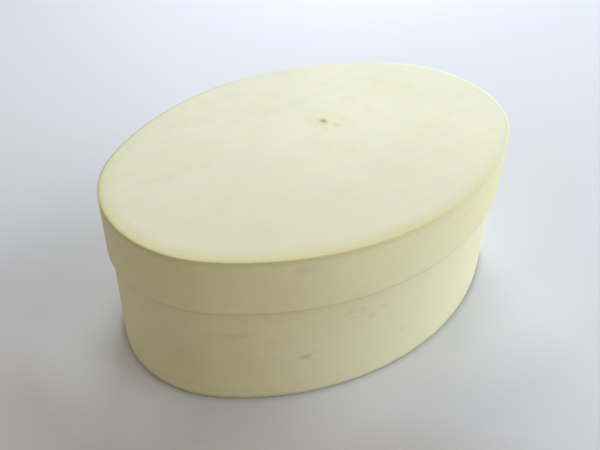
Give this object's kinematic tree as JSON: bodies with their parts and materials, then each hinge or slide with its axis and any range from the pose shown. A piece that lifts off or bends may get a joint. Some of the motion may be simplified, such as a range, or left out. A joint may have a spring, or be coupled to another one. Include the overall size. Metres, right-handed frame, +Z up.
{
  "type": "oval bentwood box",
  "caption": "Plain pale oval box of thin bent wood with a deep lift-off lid, lapped with swallowtail fingers at the back.",
  "frame": {"origin": "centre of the base, on the plane the box stands on", "axes": "+X along the length of the oval, +Y to the back where the bands are lapped, +Z up"},
  "size_m": [0.21, 0.1466, 0.0855],
  "materials": {
    "band_wood": "matte",
    "board_wood": "matte",
    "peg_wood": "matte",
    "tack_copper": "satin"
  },
  "bodies": {
    "box": {"body_band": "band_wood", "base_board": "board_wood", "base_pegs": "peg_wood", "body_tacks": "tack_copper"},
    "lid": {"lid_band": "band_wood", "lid_board": "board_wood", "lid_pegs": "peg_wood", "lid_tacks": "tack_copper"}
  },
  "joints": [
    {"name": "lid_lift", "type": "slide", "parent": "box", "child": "lid", "axis": [0, 0, 1], "range_m": [0, 0.12]}
  ]
}
